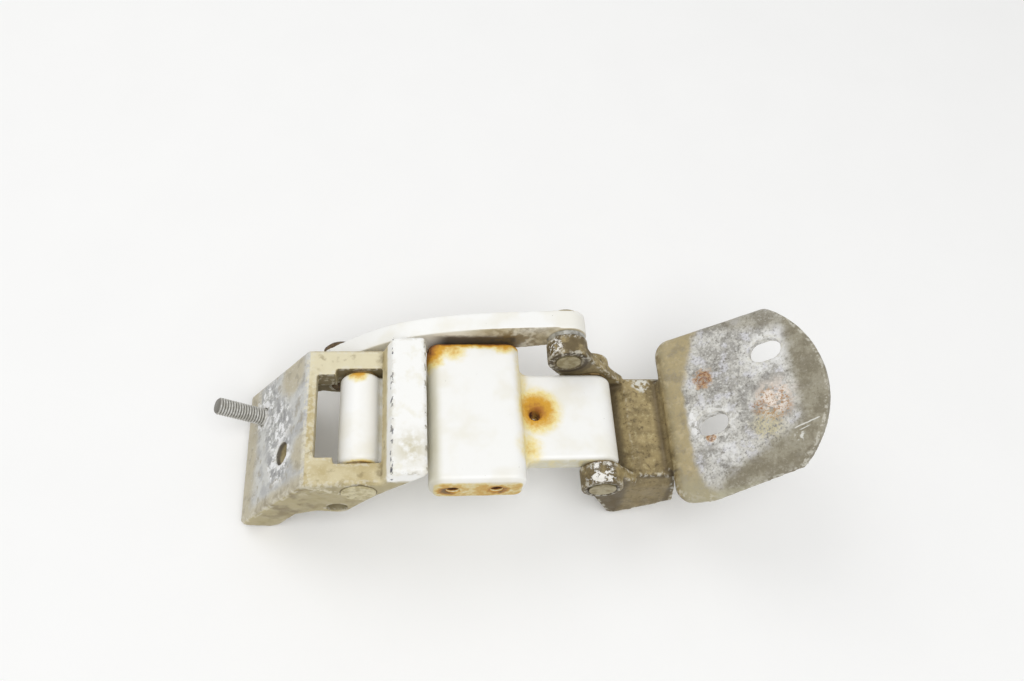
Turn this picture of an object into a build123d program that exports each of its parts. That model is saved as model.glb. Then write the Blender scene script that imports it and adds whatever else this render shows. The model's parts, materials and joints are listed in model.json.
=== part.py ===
"""Vehicle door hinge: a crossed four-bar of body bracket, main arm, control link and door bracket.

The hinge lies as it would on a bench, at its open stop. The origin is the centre of the
body bracket's mounting face, X runs along the arm, Y along the pivot pins and Z is up.
Side-view places are (X, Z) pairs measured from the arm's front pivot, or, on the door
bracket, from the arm's rear pivot.
"""
import os
from math import cos, radians, sin

from build123d import *

os.makedirs("parts", exist_ok=True)

# Fits
running_gap = 0.04
press_gap = 0.02
axial_gap = 0.08

# Pivots
arm_pivot_from_face = (39.9, 15.9)
link_pivot = (-10.0, -18.6)
door_pivot = (105.5, -3.4)
door_link_pivot = (-12.9, 17.1)
eye_rest_lift = 0.68
open_pivot_gap = 0.78

# Pins and bushes
arm_pin_radius = 5.0
link_pin_radius = 4.5
bush_wall = 1.0
bush_flange_radius = 7.6
bush_flange = 0.8
bush_length = 14.0
arm_pin_head_radius = 7.4
arm_pin_head = 0.7
link_head_radius = 9.0
link_head = 3.4
door_head_radius = 7.4
door_head = 2.4
pin_chamfer = 0.6
head_bevel = 0.45
rivet_overhang = 1.0
rivet_head = 0.8

# Main arm
arm_width = 42.4
knuckle_radius = 9.2
knuckle_edge = 1.6
neck_top = 3.6
neck_bottom = -7.2
block_start = 29.2
block_length = 41.8
block_width = 66.8
block_top = 12.6
block_bottom = -6.5
block_corner = 5.8
far_block_edge = 1.4
near_block_edge = 2.4
shoulder = 5.0
shoulder_reach = 1.5
corner_web = 4.5
block_bore_radius = 2.75
block_bore_height = 3.0
block_bore_inset = 10.2
block_bore_spacing = 18.7
door_barrel_radius = 8.6
plate_thickness = 11.0
tapped_hole_radius = 2.15
tapped_recess_radius = 3.0
tapped_recess = 1.6
tapped_hole_from_block = 6.0
tapped_hole_side = 1.0

# Body bracket
mount_lean = 34.1
face_length = 57.0
mount_plate = 8.0
wall = 10.0
thin_wall = 4.6
frame_depth = 6.0
pivot_boss_radius = 11.5
pocket_left = -21.7
pocket_right = 8.0
frame_top = 8.6
window_left = -18.7
window_step = -10.6
window_side = 19.4
bar_left = 14.1
bar_right = 28.7
bar_top = 20.75
bar_heel = 16.2
bar_foot = 9.6
bar_underside = 6.0
bar_haunch = 2.4
foot_tip = (-41.5, -43.0)
foot_back = (-36.6, -41.0)
cheek_arch_start = (-28.0, -27.2)
cheek_arch_top = (-19.0, -23.6)
wall_lobe_radius = 7.0
lobe_sweep = 62.0
cheek_rise = (8.0, -5.6)
tip_edge = 3.0
tip_corner = 4.0
corner_bite = 0.3
bar_edge = 2.0
bracket_side_edge = 1.4

# Fixings on the mounting face, from its centre: up the slope and along Y
stud_radius = 4.0
stud_length = 22.5
stud_up = -10.9
stud_side = 15.0
stud_shank_radius = 4.3
stud_head_radius = 5.1
stud_head = 2.6
stud_tip = 1.0
body_hole_radius = 5.25
body_hole_up = 9.8
body_hole_side = -10.5

# Control link
link_clearance = 0.8
link_width = 9.8
link_strap_inset = 0.9
link_eye_radius = 9.2
link_bush_wall = 1.0
washer_radius = 8.8
link_upper_edge = [(-15.5, -11.2), (2.2, 3.6), (13.2, 10.6), (28.4, 16.4), (55.0, 21.2)]
link_lower_edge = [(86.6, 7.4), (68.0, 4.0), (36.0, 0.6), (18.0, -5.6), (5.0, -17.0), (-5.5, -26.6)]

# Door bracket
ear_thickness = 4.8
ear_flare = 3.6
ear_boss_radius = 9.4
ear_boss_length = 10.0
boss_edge = 0.9
boss_groove_gap = 0.8
boss_groove = 0.9
web_top = -4.6
web_thickness = 5.0
web_bite = 0.5
pad_height = 0.8
pad_half_width = 24.0
web_bevel = (2.4, 4.0)
ear_end = 35.0
ear_drop = -36.4
neck_half_width = 22.5
leaf_slope = 38.0
leaf_anchor = (39.5, 7.4)
leaf_thickness = 4.4
leaf_rim = 7.2
leaf_left = -10.5
leaf_right = 64.9
leaf_far_side = 41.8
leaf_near_side = 40.6
leaf_near_left = 38.2
leaf_near_run = 16.0
leaf_near_taper = 36.2
leaf_far_end = 44.0
leaf_near_end = 46.6
leaf_corner = 8.0
leaf_roll = 4.5
slot_radius = 5.0
slot_length = 14.5
far_slot = (41.8, 19.8)
near_slot = (12.4, -7.3)

# Places that follow from the sizes above
arm_half = arm_width / 2
cheek = arm_half + bush_flange + axial_gap
bracket_half = cheek + wall
link_inner = max(block_width / 2, bracket_half) + link_clearance
link_outer = link_inner + link_width
block_end = block_start + block_length
plate_top = door_pivot[1] + door_barrel_radius
plate_bottom = plate_top - plate_thickness
ear_outer = cheek + ear_thickness
boss_outer = cheek + ear_boss_length
door_link_from_arm = (door_pivot[0] + door_link_pivot[0], door_pivot[1] + door_link_pivot[1])
reach = 200.0


def side_plane(y, pivot=(0.0, 0.0)):
    """Side view at a given Y, with local x along +X, local y along +Z and extrusion towards -Y."""
    x = arm_pivot_from_face[0] + pivot[0]
    z = arm_pivot_from_face[1] + pivot[1]
    return Plane(origin=(x, y, z), x_dir=(1, 0, 0), z_dir=(0, -1, 0))


def face_point(up, out=0.0):
    """Side-view point on the mounting face, up its slope from its centre and out along its normal."""
    lean = radians(mount_lean)
    x = up * sin(lean) - out * cos(lean) - arm_pivot_from_face[0]
    z = up * cos(lean) + out * sin(lean) - arm_pivot_from_face[1]
    return (x, z)


def face_plane():
    """Mounting face, with local x along Y, local y up the slope and local z outwards."""
    lean = radians(mount_lean)
    return Plane(origin=(0, 0, 0), x_dir=(0, -1, 0), z_dir=(-cos(lean), 0, sin(lean)))


def plate_back_point(x):
    """Side-view point at a given X on the back of the mounting plate."""
    lean = radians(mount_lean)
    up = (x + arm_pivot_from_face[0] - mount_plate * cos(lean)) / sin(lean)
    return face_point(up, -mount_plate)


def leaf_point(along, up=0.0):
    """Side-view point on the leaf, along its slope and up its normal, from the door pivot."""
    slope = radians(leaf_slope)
    x = leaf_anchor[0] + along * cos(slope) - up * sin(slope)
    z = leaf_anchor[1] + along * sin(slope) + up * cos(slope)
    return (x, z)


def leaf_plane(up=0.0):
    """Leaf's top face or a plane parallel to it, with local x along the slope and local y along Y."""
    slope = radians(leaf_slope)
    x, z = leaf_point(0, up)
    origin = (arm_pivot_from_face[0] + door_pivot[0] + x, 0, arm_pivot_from_face[1] + door_pivot[1] + z)
    return Plane(origin=origin, x_dir=(cos(slope), 0, sin(slope)), z_dir=(-sin(slope), 0, cos(slope)))


def turned_pin(radius, start, end, pivot, head_radius=0.0, head=0.0, riveted=False):
    """Pin along Y from start to end, with a head or a chamfer at the end and a riveted disc at the start."""
    outward = 1 if end > start else -1
    with BuildPart() as pin:
        with BuildSketch(side_plane(start, pivot)):
            Circle(radius)
        extrude(amount=start - end)
        rims = pin.edges().filter_by(GeomType.CIRCLE).sort_by(Axis((0, 0, 0), (0, outward, 0)))
        chamfer(rims[0] if head else rims, pin_chamfer)
        if head:
            with BuildSketch(side_plane(end, pivot)):
                Circle(head_radius)
            extrude(amount=-outward * head)
            rims = pin.edges().filter_by(GeomType.CIRCLE).sort_by(Axis((0, 0, 0), (0, outward, 0)))
            chamfer(rims[-1], head * head_bevel)
        if riveted:
            with BuildSketch(side_plane(start, pivot)):
                Circle(radius + rivet_overhang)
            extrude(amount=-outward * rivet_head)
    return pin.part


def flanged_bush(side, pivot):
    """Plain bearing with a thrust flange, pressed into one end (side -1 or +1) of an arm pivot."""
    outer = arm_pin_radius + bush_wall
    with BuildPart() as bush:
        with BuildSketch(side_plane(side * arm_half, pivot)):
            Circle(outer)
        extrude(amount=side * bush_length)
        with BuildSketch(side_plane(side * arm_half, pivot)):
            Circle(bush_flange_radius)
        extrude(amount=-side * bush_flange)
        with BuildSketch(side_plane(side * (arm_half + bush_flange), pivot)):
            Circle(arm_pin_radius + running_gap)
        extrude(amount=side * (bush_length + bush_flange), mode=Mode.SUBTRACT)
    return bush.part


def spacer(inner_radius, outer_radius, start, end, pivot):
    """Plain ring along Y from start to end."""
    with BuildPart() as ring:
        with BuildSketch(side_plane(end, pivot)):
            Circle(outer_radius)
            Circle(inner_radius, mode=Mode.SUBTRACT)
        extrude(amount=end - start)
    return ring.part


def ear(side, outline, bosses):
    """Ear of the door bracket: a sheet that flares below the web, cut to a side outline, with bosses."""
    web_height = arm_pivot_from_face[1] + door_pivot[1] + web_top
    foot_height = arm_pivot_from_face[1] + door_pivot[1] + ear_drop
    with BuildPart() as sheet:
        with BuildSketch(Plane.YZ):
            with BuildLine():
                Polyline(
                    (side * cheek, web_height + reach),
                    (side * cheek, web_height),
                    (side * (cheek + ear_flare), foot_height),
                    (side * (ear_outer + ear_flare), foot_height),
                    (side * ear_outer, web_height),
                    (side * ear_outer, web_height + reach),
                    close=True,
                )
            make_face()
        extrude(amount=reach)
        with BuildSketch(side_plane(0, door_pivot)):
            with Locations(*bosses):
                Circle(ear_boss_radius)
            with BuildLine():
                Polyline(*outline, close=True)
            make_face()
        extrude(amount=reach, both=True, mode=Mode.INTERSECT)
        with BuildSketch(side_plane(side * cheek, door_pivot)):
            with Locations(*bosses):
                Circle(ear_boss_radius)
        extrude(amount=-side * ear_boss_length)
        face = sheet.faces().filter_by(Axis.Y).sort_by(Axis((0, 0, 0), (0, side, 0)))[-1]
        chamfer(face.edges(), boss_edge)
    return sheet.part


def save(part, name):
    """Label a finished piece and write it under its node name."""
    part.label = name
    export_step(part, f"parts/{name}.step")


# Body bracket: a casting with a leaning mounting plate, a window and two cheeks
face_top = (frame_top + arm_pivot_from_face[1]) / cos(radians(mount_lean))
with BuildPart() as body_bracket:
    with BuildSketch(side_plane(0)):
        with BuildLine():
            Polyline(
                face_point(face_top),
                face_point(-face_length / 2),
                foot_tip,
                foot_back,
                cheek_arch_start,
                cheek_arch_top,
                (link_pivot[0], link_pivot[1] - wall_lobe_radius),
            )
            lobe = CenterArc(link_pivot, wall_lobe_radius, -90, lobe_sweep)
            Polyline(
                lobe @ 1,
                cheek_rise,
                (bar_right, bar_heel),
                (bar_right, bar_top),
                (bar_left, bar_top),
                (bar_foot, frame_top),
                face_point(face_top),
            )
        make_face()
    extrude(amount=bracket_half, both=True)
    long_edges = body_bracket.edges().filter_by(Axis.Y)
    fillet(long_edges.group_by(Axis.Z)[-1], bar_edge)
    fillet(body_bracket.edges().filter_by(Axis.Y).sort_by(Axis.X)[0], tip_edge)
    chamfer(body_bracket.faces().filter_by(Axis.Y).edges(), bracket_side_edge)
    with BuildSketch(face_plane()):
        for side in (-1, 1):
            corner = (side * bracket_half, -face_length / 2)
            with Locations(corner):
                Rectangle(2 * tip_corner, 2 * tip_corner)
            inner = (corner[0] - side * (tip_corner - corner_bite), corner[1] + tip_corner - corner_bite)
            with Locations(inner):
                Circle(tip_corner, mode=Mode.SUBTRACT)
    extrude(amount=reach, both=True, mode=Mode.SUBTRACT)
    with BuildSketch(side_plane(0)):
        with BuildLine():
            Polyline(
                (window_step, reach),
                (window_step, -reach),
                (reach, -reach),
                (reach, bar_underside),
                (bar_foot + bar_haunch, bar_underside),
                (bar_foot, frame_top),
                (bar_foot, reach),
                close=True,
            )
        make_face()
    extrude(amount=cheek, both=True, mode=Mode.SUBTRACT)
    plate_back = face_point(-reach, -mount_plate)
    with BuildSketch(side_plane(0)):
        with BuildLine():
            Polyline(
                (window_left, reach),
                plate_back_point(window_left),
                plate_back,
                (window_step, -reach),
                (window_step, reach),
                close=True,
            )
        make_face()
    extrude(amount=window_side, both=True, mode=Mode.SUBTRACT)
    with BuildSketch(side_plane(0)):
        with BuildLine():
            Polyline(
                plate_back_point(pocket_left),
                plate_back,
                (pocket_right, -reach),
                (pocket_right, frame_top - frame_depth),
                close=True,
            )
        make_face()
        Circle(pivot_boss_radius, mode=Mode.SUBTRACT)
    extrude(amount=bracket_half - thin_wall, both=True, mode=Mode.SUBTRACT)
    with BuildSketch(side_plane(bracket_half)):
        Circle(arm_pin_radius + press_gap)
        with Locations(link_pivot):
            Circle(link_pin_radius + press_gap)
    extrude(amount=2 * bracket_half, mode=Mode.SUBTRACT)
    with BuildSketch(face_plane()):
        with Locations((-body_hole_side, body_hole_up)):
            Circle(body_hole_radius)
        with Locations((-stud_side, stud_up)):
            Circle(stud_shank_radius + press_gap)
    extrude(amount=-2 * mount_plate, mode=Mode.SUBTRACT)
save(body_bracket.part, "body_bracket")

# Stud pressed through the mounting plate from behind
with BuildPart() as mounting_stud:
    with BuildSketch(face_plane().offset(-mount_plate - stud_head)):
        with Locations((-stud_side, stud_up)):
            Circle(stud_head_radius)
    extrude(amount=stud_head)
    with BuildSketch(face_plane().offset(-mount_plate)):
        with Locations((-stud_side, stud_up)):
            Circle(stud_shank_radius)
    extrude(amount=mount_plate)
    with BuildSketch(face_plane()):
        with Locations((-stud_side, stud_up)):
            Circle(stud_radius)
    extrude(amount=stud_length)
    chamfer(mounting_stud.edges().filter_by(GeomType.CIRCLE).sort_by(Axis.X)[0], stud_tip)
save(mounting_stud.part, "mounting_stud")

# Main arm's cross block: a rounded bar as wide as the bracket
with BuildPart() as cross_block:
    with BuildSketch(side_plane(0)):
        with Locations((block_start + block_length / 2, (block_top + block_bottom) / 2)):
            RectangleRounded(block_length, block_top - block_bottom, block_corner)
    extrude(amount=block_width / 2, both=True)
    ends = cross_block.faces().filter_by(Axis.Y).sort_by(Axis.Y)
    chamfer(ends[0].edges(), near_block_edge)
    ends = cross_block.faces().filter_by(Axis.Y).sort_by(Axis.Y)
    chamfer(ends[-1].edges(), far_block_edge)

# Main arm: a forging with a knuckle, the cross block and a plate that ends in a barrel
with BuildPart() as main_arm:
    with BuildSketch(side_plane(0)):
        Circle(knuckle_radius)
        with Locations(door_pivot):
            Circle(door_barrel_radius)
        with BuildLine():
            Polyline(
                (0, neck_top),
                (0, neck_bottom),
                (block_start + block_corner, neck_bottom),
                (block_start + block_corner, plate_bottom),
                (door_pivot[0], plate_bottom),
                (door_pivot[0], plate_top),
                (block_end + shoulder, plate_top),
            )
            rise = TangentArc(
                (block_end + shoulder, plate_top),
                (block_end - shoulder_reach, plate_top + shoulder),
                tangent=(-1, 0),
            )
            Polyline(
                rise @ 1,
                (block_start + block_corner, plate_top + shoulder),
                (block_start + block_corner, neck_top),
                (0, neck_top),
            )
        make_face()
    extrude(amount=arm_half, both=True)
    chamfer(main_arm.faces().filter_by(Axis.Y).edges(), knuckle_edge)
    add(cross_block.part)
    with BuildSketch(Plane.XY.offset(arm_pivot_from_face[1] + plate_bottom + knuckle_edge)):
        for side in (-1, 1):
            corner = (arm_pivot_from_face[0] + block_end, side * arm_half)
            with Locations(corner):
                Rectangle(2 * corner_web, 2 * corner_web)
            with Locations((corner[0] + corner_web, corner[1] + side * corner_web)):
                Circle(corner_web, mode=Mode.SUBTRACT)
    extrude(amount=plate_thickness - 2 * knuckle_edge)
    with BuildSketch(side_plane(arm_half)):
        Circle(arm_pin_radius + bush_wall + press_gap)
        with Locations(door_pivot):
            Circle(arm_pin_radius + bush_wall + press_gap)
    extrude(amount=arm_width, mode=Mode.SUBTRACT)
    with BuildSketch(side_plane(block_width / 2)):
        with Locations(
            (block_start + block_bore_inset, block_bore_height),
            (block_start + block_bore_inset + block_bore_spacing, block_bore_height),
        ):
            Circle(block_bore_radius)
    extrude(amount=block_width, mode=Mode.SUBTRACT)
    hole_x = arm_pivot_from_face[0] + block_end + tapped_hole_from_block
    with Locations((hole_x, tapped_hole_side, arm_pivot_from_face[1] + plate_top)):
        CounterBoreHole(tapped_hole_radius, tapped_recess_radius, tapped_recess)
save(main_arm.part, "main_arm")

# Control link: a curved strap between two eyes, outside the far cheek
with BuildPart() as control_link:
    eye_d = (door_link_from_arm[0], door_link_from_arm[1] + eye_rest_lift)
    with BuildSketch(side_plane(link_outer)):
        with BuildLine():
            upper = Spline(*link_upper_edge, (eye_d[0], eye_d[1] + link_eye_radius))
            Line(upper @ 1, eye_d)
            Line(eye_d, link_lower_edge[0])
            lower = Spline(*link_lower_edge)
            Line(lower @ 1, upper @ 0)
        make_face()
    extrude(amount=link_width - link_strap_inset)
    with BuildSketch(side_plane(link_outer)):
        with Locations(link_pivot, eye_d):
            Circle(link_eye_radius)
    extrude(amount=link_width)
    with BuildSketch(side_plane(link_outer)):
        with Locations(link_pivot):
            Circle(link_pin_radius + link_bush_wall + press_gap)
        with Locations(eye_d):
            Circle(link_pin_radius + link_bush_wall + open_pivot_gap)
    extrude(amount=link_width, mode=Mode.SUBTRACT)
save(control_link.part, "control_link")

# Door bracket's leaf: a plate whose border turns down on three sides
with BuildPart() as leaf_pan:
    with BuildSketch(leaf_plane()) as leaf_outline:
        with BuildLine():
            Polyline(
                (leaf_far_end, leaf_far_side),
                (leaf_left, leaf_far_side),
                (leaf_left, -leaf_near_left),
                (leaf_left + leaf_near_run, -leaf_near_side),
                (leaf_near_end, -leaf_near_taper),
            )
            ThreePointArc(
                (leaf_near_end, -leaf_near_taper),
                (leaf_right, 1.0),
                (leaf_far_end, leaf_far_side),
            )
        make_face()
        fillet(leaf_outline.vertices().group_by(Axis.X)[0], leaf_corner)
    extrude(amount=-leaf_rim)
    top_face = leaf_pan.faces().sort_by(Axis(leaf_plane().origin, leaf_plane().z_dir))[-1]
    right_arc = top_face.edges().filter_by(GeomType.CIRCLE).sort_by(SortBy.LENGTH)[-1]
    fillet([edge for edge in top_face.edges() if edge.length != right_arc.length], leaf_roll)
    with BuildSketch(leaf_plane(-leaf_thickness)):
        offset(leaf_outline.sketch, amount=-leaf_thickness)
    extrude(amount=-leaf_rim, mode=Mode.SUBTRACT)
    with BuildSketch(side_plane(0, door_pivot)):
        with BuildLine():
            Polyline(
                leaf_point(leaf_left, -leaf_rim),
                leaf_point(leaf_far_end, -leaf_thickness),
                leaf_point(reach, -leaf_thickness),
                leaf_point(reach, -2 * leaf_rim),
                leaf_point(leaf_left, -2 * leaf_rim),
                close=True,
            )
        make_face()
    extrude(amount=reach, both=True, mode=Mode.SUBTRACT)

# Door bracket: two ears hang from a web that rises into the leaf
web_bottom = web_top - web_thickness
web_section = [
    (8.6, -11.4),
    (17.0, web_top),
    (ear_end, web_top),
    (ear_end, web_bottom),
    (19.0, web_bottom),
    (5.4, -15.2),
]
neck_section = [
    (20.0, web_top),
    (31.0, web_top),
    leaf_point(-5.0),
    leaf_point(8.0),
    leaf_point(8.0, -leaf_thickness),
    leaf_point(-3.0, -leaf_thickness),
    (33.5, web_bottom),
    (20.0, web_bottom),
]
pad_section = [
    (18.6, web_top),
    (19.2, web_top + pad_height),
    (30.0, web_top + pad_height),
    (30.6, web_top),
]
ear_foot = [
    (-7.6, -5.5),
    (8.4, ear_drop + 2.4),
    (11.6, ear_drop + 0.4),
    (20.0, -32.6),
    (ear_end + 3.0, -24.0),
    (ear_end, web_top),
]
near_ear_top = [
    (16.0, web_top),
    (5.4, 7.6),
]
far_ear_top = [
    (17.0, web_top),
    (9.3, 3.9),
    (door_link_pivot[0] + 7.3, door_link_pivot[1] + 5.9),
    (door_link_pivot[0] - 7.8, door_link_pivot[1] - 5.2),
]
with BuildPart() as door_bracket:
    add(ear(-1, ear_foot + near_ear_top, [(0, 0)]))
    add(ear(1, ear_foot + far_ear_top, [(0, 0), door_link_pivot]))
    with BuildSketch(side_plane(0, door_pivot)):
        with BuildLine():
            Polyline(*web_section, close=True)
        make_face()
    extrude(amount=cheek + web_bite, both=True)
    web_height = arm_pivot_from_face[1] + door_pivot[1] + web_top
    with BuildSketch(Plane.YZ.offset(arm_pivot_from_face[0] + door_pivot[0] + far_ear_top[0][0])):
        for side in (-1, 1):
            with BuildLine():
                Polyline(
                    (side * (ear_outer - web_bevel[0]), web_height),
                    (side * (ear_outer + web_bevel[0]), web_height),
                    (side * (ear_outer + web_bevel[0]), web_height - 2 * web_bevel[1]),
                    close=True,
                )
            make_face()
    extrude(amount=ear_end, mode=Mode.SUBTRACT)
    with BuildSketch(side_plane(0, door_pivot)):
        with BuildLine():
            Polyline(*neck_section, close=True)
        make_face()
    extrude(amount=neck_half_width, both=True)
    with BuildSketch(side_plane(0, door_pivot)):
        with BuildLine():
            Polyline(*pad_section, close=True)
        make_face()
    extrude(amount=pad_half_width, both=True)
    add(leaf_pan.part)
    with BuildSketch(side_plane(reach, door_pivot)):
        Circle(arm_pin_radius + press_gap)
    extrude(amount=2 * reach, mode=Mode.SUBTRACT)
    with BuildSketch(side_plane(reach, door_pivot)):
        with Locations(door_link_pivot):
            Circle(link_pin_radius + press_gap)
    extrude(amount=reach, mode=Mode.SUBTRACT)
    with BuildSketch(side_plane(cheek + boss_groove, door_pivot)):
        with Locations(door_link_pivot):
            Circle(link_pin_radius + rivet_overhang + boss_groove_gap)
    extrude(amount=boss_groove, mode=Mode.SUBTRACT)
    with BuildSketch(side_plane(boss_groove - boss_outer, door_pivot)):
        Circle(arm_pin_radius + rivet_overhang + boss_groove_gap)
    extrude(amount=boss_groove, mode=Mode.SUBTRACT)
    with BuildSketch(leaf_plane()):
        with Locations(far_slot, near_slot):
            SlotOverall(slot_length, 2 * slot_radius)
    extrude(amount=-2 * leaf_thickness, mode=Mode.SUBTRACT)
save(door_bracket.part, "door_bracket")

# Pins: the arm's two run right across, the link's two are held in the far side only
save(
    turned_pin(arm_pin_radius, bracket_half, -bracket_half, (0, 0), arm_pin_head_radius, arm_pin_head),
    "arm_body_pin",
)
save(turned_pin(arm_pin_radius, -boss_outer, boss_outer, door_pivot, riveted=True), "arm_door_pin")
save(
    turned_pin(
        link_pin_radius,
        bracket_half - thin_wall - pin_chamfer,
        link_outer + axial_gap,
        link_pivot,
        link_head_radius,
        link_head,
    ),
    "link_body_pin",
)
save(
    turned_pin(
        link_pin_radius,
        cheek,
        link_outer + axial_gap,
        door_link_from_arm,
        door_head_radius,
        door_head,
        riveted=True,
    ),
    "link_door_pin",
)

# Flanged bushes, two in each arm pivot
save(flanged_bush(-1, (0, 0)), "arm_body_bush_near")
save(flanged_bush(1, (0, 0)), "arm_body_bush_far")
save(flanged_bush(-1, door_pivot), "arm_door_bush_near")
save(flanged_bush(1, door_pivot), "arm_door_bush_far")

# Link bushes and the washers that hold the link clear of the cheek and the ear
link_bush_radius = link_pin_radius + link_bush_wall
save(
    spacer(link_pin_radius + running_gap, link_bush_radius, link_inner, link_outer, link_pivot),
    "link_body_bush",
)
save(
    spacer(link_pin_radius + press_gap, link_bush_radius, link_inner, link_outer, door_link_from_arm),
    "link_door_bush",
)
save(
    spacer(link_pin_radius + press_gap, washer_radius, bracket_half, link_inner - axial_gap, link_pivot),
    "link_body_washer",
)
save(
    spacer(
        link_pin_radius + press_gap,
        washer_radius,
        boss_outer,
        link_inner - axial_gap,
        door_link_from_arm,
    ),
    "link_door_washer",
)
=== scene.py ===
import json
from math import cos, sin, tau

import bpy
import numpy as np
from mathutils import Matrix, Vector, noise

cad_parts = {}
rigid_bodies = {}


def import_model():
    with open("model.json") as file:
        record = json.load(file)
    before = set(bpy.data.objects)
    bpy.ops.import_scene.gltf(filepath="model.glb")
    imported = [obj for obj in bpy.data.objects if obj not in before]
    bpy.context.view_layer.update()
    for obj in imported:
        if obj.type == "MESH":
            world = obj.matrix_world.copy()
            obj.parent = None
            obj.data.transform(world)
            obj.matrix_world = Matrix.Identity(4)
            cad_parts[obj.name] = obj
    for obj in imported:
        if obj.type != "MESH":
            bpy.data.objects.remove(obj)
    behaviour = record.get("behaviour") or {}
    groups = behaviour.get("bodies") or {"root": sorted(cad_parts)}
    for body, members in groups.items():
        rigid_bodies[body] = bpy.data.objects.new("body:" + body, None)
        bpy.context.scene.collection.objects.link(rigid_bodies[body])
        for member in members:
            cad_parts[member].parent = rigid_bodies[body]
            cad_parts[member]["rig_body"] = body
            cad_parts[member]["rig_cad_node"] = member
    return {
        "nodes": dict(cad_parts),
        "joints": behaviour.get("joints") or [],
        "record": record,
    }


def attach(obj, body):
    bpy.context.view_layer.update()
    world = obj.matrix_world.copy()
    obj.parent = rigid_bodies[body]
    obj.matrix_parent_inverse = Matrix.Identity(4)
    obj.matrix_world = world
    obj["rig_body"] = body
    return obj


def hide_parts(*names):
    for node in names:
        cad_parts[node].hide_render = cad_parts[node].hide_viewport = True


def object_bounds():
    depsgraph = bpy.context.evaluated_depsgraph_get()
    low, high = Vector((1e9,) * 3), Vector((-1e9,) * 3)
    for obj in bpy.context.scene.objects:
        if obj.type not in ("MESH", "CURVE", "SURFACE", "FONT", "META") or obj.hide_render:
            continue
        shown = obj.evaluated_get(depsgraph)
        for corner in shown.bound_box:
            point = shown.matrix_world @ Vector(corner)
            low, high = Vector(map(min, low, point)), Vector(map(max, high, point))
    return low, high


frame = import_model()
cad_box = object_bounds()

MM = 0.001
RIGHT = Vector((1, 0, 0))
LEFT = -RIGHT
FAR = Vector((0, 1, 0))
NEAR = -FAR
UP = Vector((0, 0, 1))
DOWN = -UP
ABOUT_Y = (1, 0, 1)

joints = {joint["name"]: joint for joint in frame["joints"]}
mounts = {mount["name"]: mount for mount in frame["record"]["mounts"]}
ARM_PIVOT = Vector(joints["arm_swing"]["pos_m"])
DOOR_PIVOT = Vector(joints["door_swing"]["pos_m"])
LINK_PIVOT = Vector(joints["link_swing"]["pos_m"])
LINK_DOOR_PIVOT = DOOR_PIVOT + Vector((-12.9, 0, 17.1)) * MM
FACE_NORMAL = Vector(mounts["mounting_face"]["axis"])
LEAF_NORMAL = Vector(mounts["door_leaf_face"]["axis"])
LEAF_CENTRE = Vector(mounts["door_leaf_face"]["pos_m"])
LEAF_UP_SLOPE = Vector((LEAF_NORMAL.z, 0, -LEAF_NORMAL.x))
FACE_UP_SLOPE = Vector((FACE_NORMAL.z, 0, -FACE_NORMAL.x))
PIN_HEAD_RADIUS = frame["nodes"]["arm_body_pin"].dimensions.z / 2
STUD_AXIS = Vector(mounts["mounting_stud"]["axis"])
STUD_MIDDLE = Vector(mounts["mounting_stud"]["pos_m"])
STUD_BASE = STUD_MIDDLE - STUD_AXIS * 10 * MM
STUD_UP, STUD_SIDE = STUD_MIDDLE.dot(FACE_UP_SLOPE) / MM, STUD_MIDDLE.y / MM
BOLT_HOLE = Vector(mounts["body_bolt_hole"]["pos_m"])
HOLE_UP, HOLE_SIDE = BOLT_HOLE.dot(FACE_UP_SLOPE) / MM, BOLT_HOLE.y / MM
TAPPED_HOLE = Vector(mounts["arm_tapped_hole"]["pos_m"])


def mm(x, y, z):
    """Place in the frame, written in millimetres."""
    return Vector((x, y, z)) * MM


def on_leaf(along, side):
    """Place on the leaf, up its slope and along Y from its centre, in millimetres."""
    return LEAF_CENTRE + LEAF_UP_SLOPE * along * MM + mm(0, side, 0)


def leaf_way(along, side):
    """Unit direction in the leaf's plane."""
    return (LEAF_UP_SLOPE * along + Vector((0, side, 0))).normalized()


def on_face(up, side):
    """Place on the mounting face, up its slope and along Y from its centre, in millimetres."""
    return FACE_UP_SLOPE * up * MM + mm(0, side, 0)


def tone(red, green, blue):
    """Colour written in display values from 0 to 255, as the shader's linear colour."""
    linear = []
    for part in (red, green, blue):
        share = part / 255
        linear.append(share / 12.92 if share <= 0.04045 else ((share + 0.055) / 1.055) ** 2.4)
    return (*linear, 1.0)


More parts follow.
